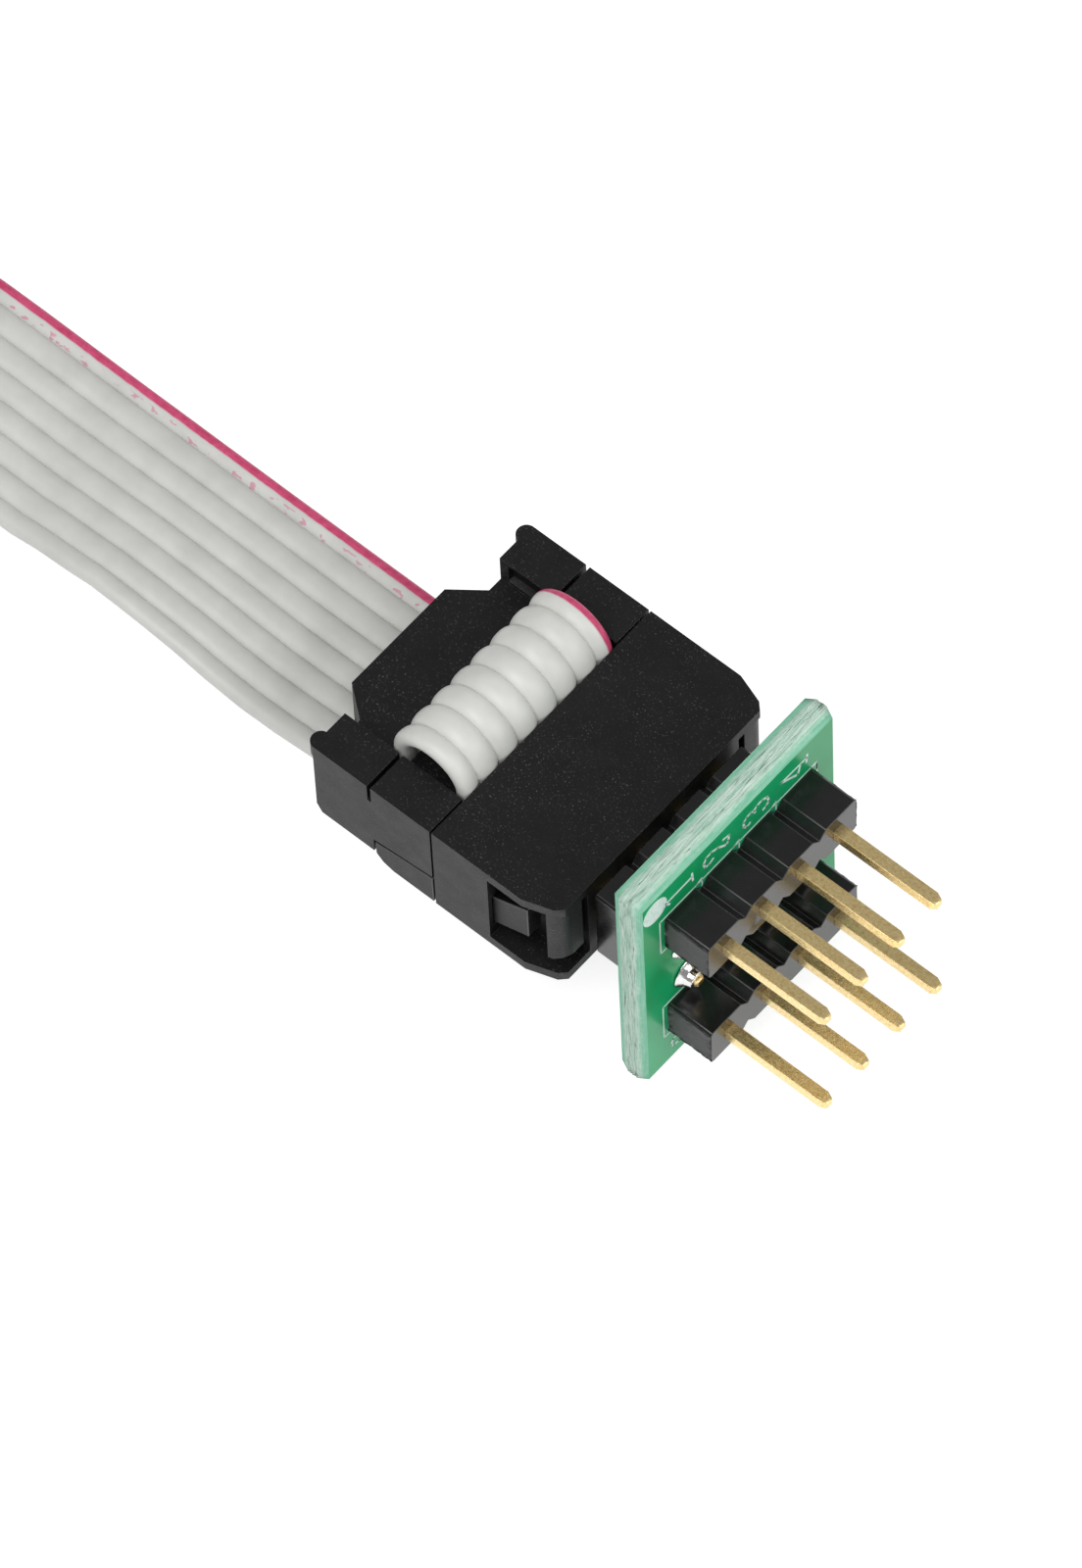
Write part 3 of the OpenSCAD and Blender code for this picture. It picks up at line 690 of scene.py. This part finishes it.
solder = {
    "pieces": {"solder_front": "solderFront", "solder_back": "solderBack"},
    "levels": 2,
    "uneven": 0.012,
    "smoothing": 0.5,
    "rounds": 2,
    "seed": 2,
}
for node, pieceName in solder["pieces"].items():
    piece = copyNode(node, pieceName, solderMetal)
    takeUp(piece)
    bpy.ops.object.modifier_add(type="SUBSURF")
    piece.modifiers[-1].levels = solder["levels"]
    bpy.ops.object.modifier_apply(modifier=piece.modifiers[-1].name)
    bpy.ops.object.mode_set(mode="EDIT")
    bpy.ops.mesh.select_all(action="SELECT")
    bpy.ops.transform.vertex_random(
        offset=solder["uneven"] * mm, uniform=0.0, normal=0.0, seed=solder["seed"])
    bpy.ops.mesh.vertices_smooth(factor=solder["smoothing"], repeat=solder["rounds"])
    bpy.ops.object.mode_set(mode="OBJECT")
    bpy.ops.object.shade_smooth()
print("board and solder done")

# printed digits and outlines on the board's front, as Y and Z in millimetres
legend = {
    "face": 5.8,
    "thick": 0.012,
    "digit": 0.13,
    "line": 0.075,
    "lap": 0.8,
    "dotPlace": (-5.68, 14.22),
    "dotRadius": 0.8,
    "rows": (11.51, 3.89),
    "below": 1.38,
    "above": 1.36,
    "leftY": -5.4,
    "rightY": 5.3,
    "cornerY": 4.95,
    "tickPlaces": (-2.54, 0.0, 2.54),
}
strokes = {
    "one": [(-4.72, 13.62), (-4.95, 13.95), (-3.2, 13.98)],
    "oneFoot": [(-3.17, 14.25), (-3.12, 13.62)],
    "two": [(-1.74, 13.68), (-2.04, 13.53), (-2.3, 13.66), (-2.38, 14.0), (-2.2, 14.33), (-1.85, 14.38),
            (-1.39, 14.19), (-0.82, 13.7), (-0.68, 13.92), (-0.63, 14.3), (-1.03, 14.42)],
    "three": [(0.77, 13.5), (0.55, 13.44), (0.36, 13.69), (0.36, 14.06), (0.56, 14.26), (0.86, 14.3),
              (1.1, 14.12), (1.14, 13.95)],
    "threeLow": [(1.08, 14.22), (1.28, 14.36), (1.65, 14.39), (1.98, 14.19), (2.08, 13.76), (1.89, 13.52),
                 (1.69, 13.49)],
    "four": [(4.68, 14.1), (2.95, 14.16), (4.07, 13.44), (4.26, 14.07)],
    "fourFoot": [(4.72, 14.32), (4.67, 13.77)],
    "eight": [(-4.75, 1.0), (-4.95, 1.25), (-4.8, 1.6), (-4.4, 1.72), (-4.05, 1.5), (-3.75, 1.7),
              (-3.35, 1.62), (-3.2, 1.3), (-3.35, 1.0), (-3.75, 0.95), (-4.05, 1.15), (-4.4, 0.95), (-4.75, 1.0)],
    "seven": [(-2.3, 0.95), (-2.3, 1.7), (-0.7, 1.2)],
    "six": [(0.35, 1.6), (0.75, 1.15), (1.3, 0.95), (1.9, 1.05), (2.1, 1.35), (1.9, 1.65), (1.5, 1.65),
            (1.3, 1.35), (1.35, 1.0)],
    "five": [(3.0, 1.7), (3.0, 1.05), (3.7, 1.0), (3.6, 1.4), (3.9, 1.7), (4.4, 1.65), (4.65, 1.3),
             (4.5, 0.95)],
}
frameLines = []
for rowZ in legend["rows"]:
    low, high = rowZ - legend["below"], rowZ + legend["above"]
    left, corner = legend["leftY"], legend["cornerY"]
    frameLines.append([(left, low), (left, high), (corner, high)])
    frameLines.append([(left, low), (legend["rightY"], low)])
    for tickY in legend["tickPlaces"]:
        tip = tickY + 0.02
        frameLines.append([(tickY - 0.38, high - 0.02), (tip, high + 0.16), (tip, high - 0.5)])
    frameLines.append([(corner, high), (5.36, high - 0.12), (5.38, low + 0.3)])
    frameLines.append([(corner, high), (5.36, high + 0.05), (5.37, high - 0.6)])


def layStroke(points, width):
    # one thin bar for each straight stretch
    bars = []
    for (startY, startZ), (endY, endZ) in zip(points, points[1:]):
        length = math.hypot(endY - startY, endZ - startZ) + width * legend["lap"]
        middle = (legend["face"] * mm, (startY + endY) / 2 * mm, (startZ + endZ) / 2 * mm)
        slope = math.atan2(endZ - startZ, endY - startY)
        deselectAll()
        bpy.ops.mesh.primitive_cube_add(
            size=1.0, location=middle, rotation=(slope, 0, 0),
            scale=(2 * legend["thick"] * mm, length * mm, width * mm))
        bars.append(bpy.context.object)
    return bars


marks = []
for points in strokes.values():
    marks += layStroke(points, legend["digit"])
for points in frameLines:
    marks += layStroke(points, legend["line"])
deselectAll()
dotY, dotZ = legend["dotPlace"]
bpy.ops.mesh.primitive_cylinder_add(
    vertices=40, radius=legend["dotRadius"] * mm, depth=2 * legend["thick"] * mm,
    location=(legend["face"] * mm, dotY * mm, dotZ * mm), rotation=(0, math.pi / 2, 0))
marks.append(bpy.context.object)
deselectAll()
for mark in marks:
    mark.select_set(True)
bpy.context.view_layer.objects.active = marks[0]
bpy.ops.object.transform_apply(location=True, rotation=True, scale=True)
bpy.ops.object.join()
boardLegend = bpy.context.object
boardLegend.name = "boardLegend"
takeUp(boardLegend)
bpy.context.scene.cursor.location = (0, 0, 0)
bpy.ops.object.origin_set(type="ORIGIN_CURSOR")
boardLegend.data.materials.clear()
boardLegend.data.materials.append(legendWhite)
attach(boardLegend, "adapter")
print("legend laid")

shownSkins = {
    "contacts_upper": leafGold,
    "contacts_lower": leafGold,
    "clip_contacts_lower": leafGold,
    "clip_contacts_upper": leafGold,
    "hank_tie": tieBlack,
}
for node, skin in shownSkins.items():
    shown = frame["nodes"][node]
    shown.data.materials.clear()
    shown.data.materials.append(skin)

# the spring is a smoothed copy, baked in place and not attached to either jaw
coil = {"halfBand": 1.0, "smoothAngle": 40}
clipCoil = copyNode("clip_spring", "clipCoil", steelMetal)
bpy.ops.object.shade_smooth_by_angle(angle=math.radians(coil["smoothAngle"]))
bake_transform(clipCoil)
print("spring laid across the hinge")

for piece in (ribbonLoop, ribbonFree):
    piece.data.materials.append(loopVinylLit if piece is ribbonLoop else ribbonVinylShaded)
    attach(piece, "lead")
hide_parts("ribbon_loop")
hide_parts("ribbon_run", "ribbon_hank", "ribbon_tail")
print("ribbon laid")

stage = {
    "floorSize": 3.0,
    "floorDrop": 0.00002,
    "floorGrey": 0.90,
    "seenGrey": 0.46,
    "seenGlow": 0.78,
    "worldGrey": 0.31,
    "aim": (0, 0, 0.005),
}
# place and side in metres, power in watts
lamps = {
    "keyLamp": {"place": (0.10, -0.45, 0.85), "side": 0.7, "power": 6.3},
    "fillLamp": {"place": (0.75, 0.20, 0.55), "side": 0.5, "power": 2.9},
}


def addFloor():
    deselectAll()
    bpy.ops.mesh.primitive_plane_add(size=stage["floorSize"], location=(0, 0, -stage["floorDrop"]))
    floor = bpy.context.object
    floor.name = "benchFloor"
    material, tree, shader = newMaterial("benchWhite")
    ray = tree.nodes.new("ShaderNodeLightPath")
    seen = sums(tree, "MAXIMUM", ray.outputs["Is Camera Ray"], ray.outputs["Is Glossy Ray"])
    white = mixColour(tree, seen, grey(stage["floorGrey"]), grey(stage["seenGrey"]))
    tree.links.new(white, shader.inputs["Base Color"])
    shader.inputs["Roughness"].default_value = 0.9
    shader.inputs["Specular IOR Level"].default_value = 0.0
    tree.links.new(sums(tree, "MULTIPLY", seen, stage["seenGlow"]), shader.inputs["Emission Strength"])
    shader.inputs["Emission Color"].default_value = (1, 1, 1, 1)
    floor.data.materials.append(material)


def addLamp(name, lampSizes):
    data = bpy.data.lights.new(name, "AREA")
    data.shape = "RECTANGLE"
    data.size = lampSizes["side"]
    data.size_y = lampSizes["side"]
    data.energy = lampSizes["power"]
    lamp = bpy.data.objects.new(name, data)
    bpy.context.scene.collection.objects.link(lamp)
    lamp.location = lampSizes["place"]
    ahead = Vector(stage["aim"]) - Vector(lampSizes["place"])
    lamp.rotation_euler = ahead.to_track_quat("-Z", "Y").to_euler()


addFloor()
for name, lampSizes in lamps.items():
    addLamp(name, lampSizes)
world = bpy.data.worlds.new("benchWorld")
bpy.context.scene.world = world
world.use_nodes = True
backdrop = world.node_tree.nodes["Background"]
backdrop.inputs["Color"].default_value = (1, 1, 1, 1)
seenSky = world.node_tree.nodes.new("ShaderNodeLightPath").outputs["Is Camera Ray"]
sky = sums(world.node_tree, "MULTIPLY_ADD", seenSky, 1.0 - stage["worldGrey"], stage["worldGrey"])
world.node_tree.links.new(sky, backdrop.inputs["Strength"])
bpy.context.scene.view_settings.view_transform = "Standard"
print("stage lit")
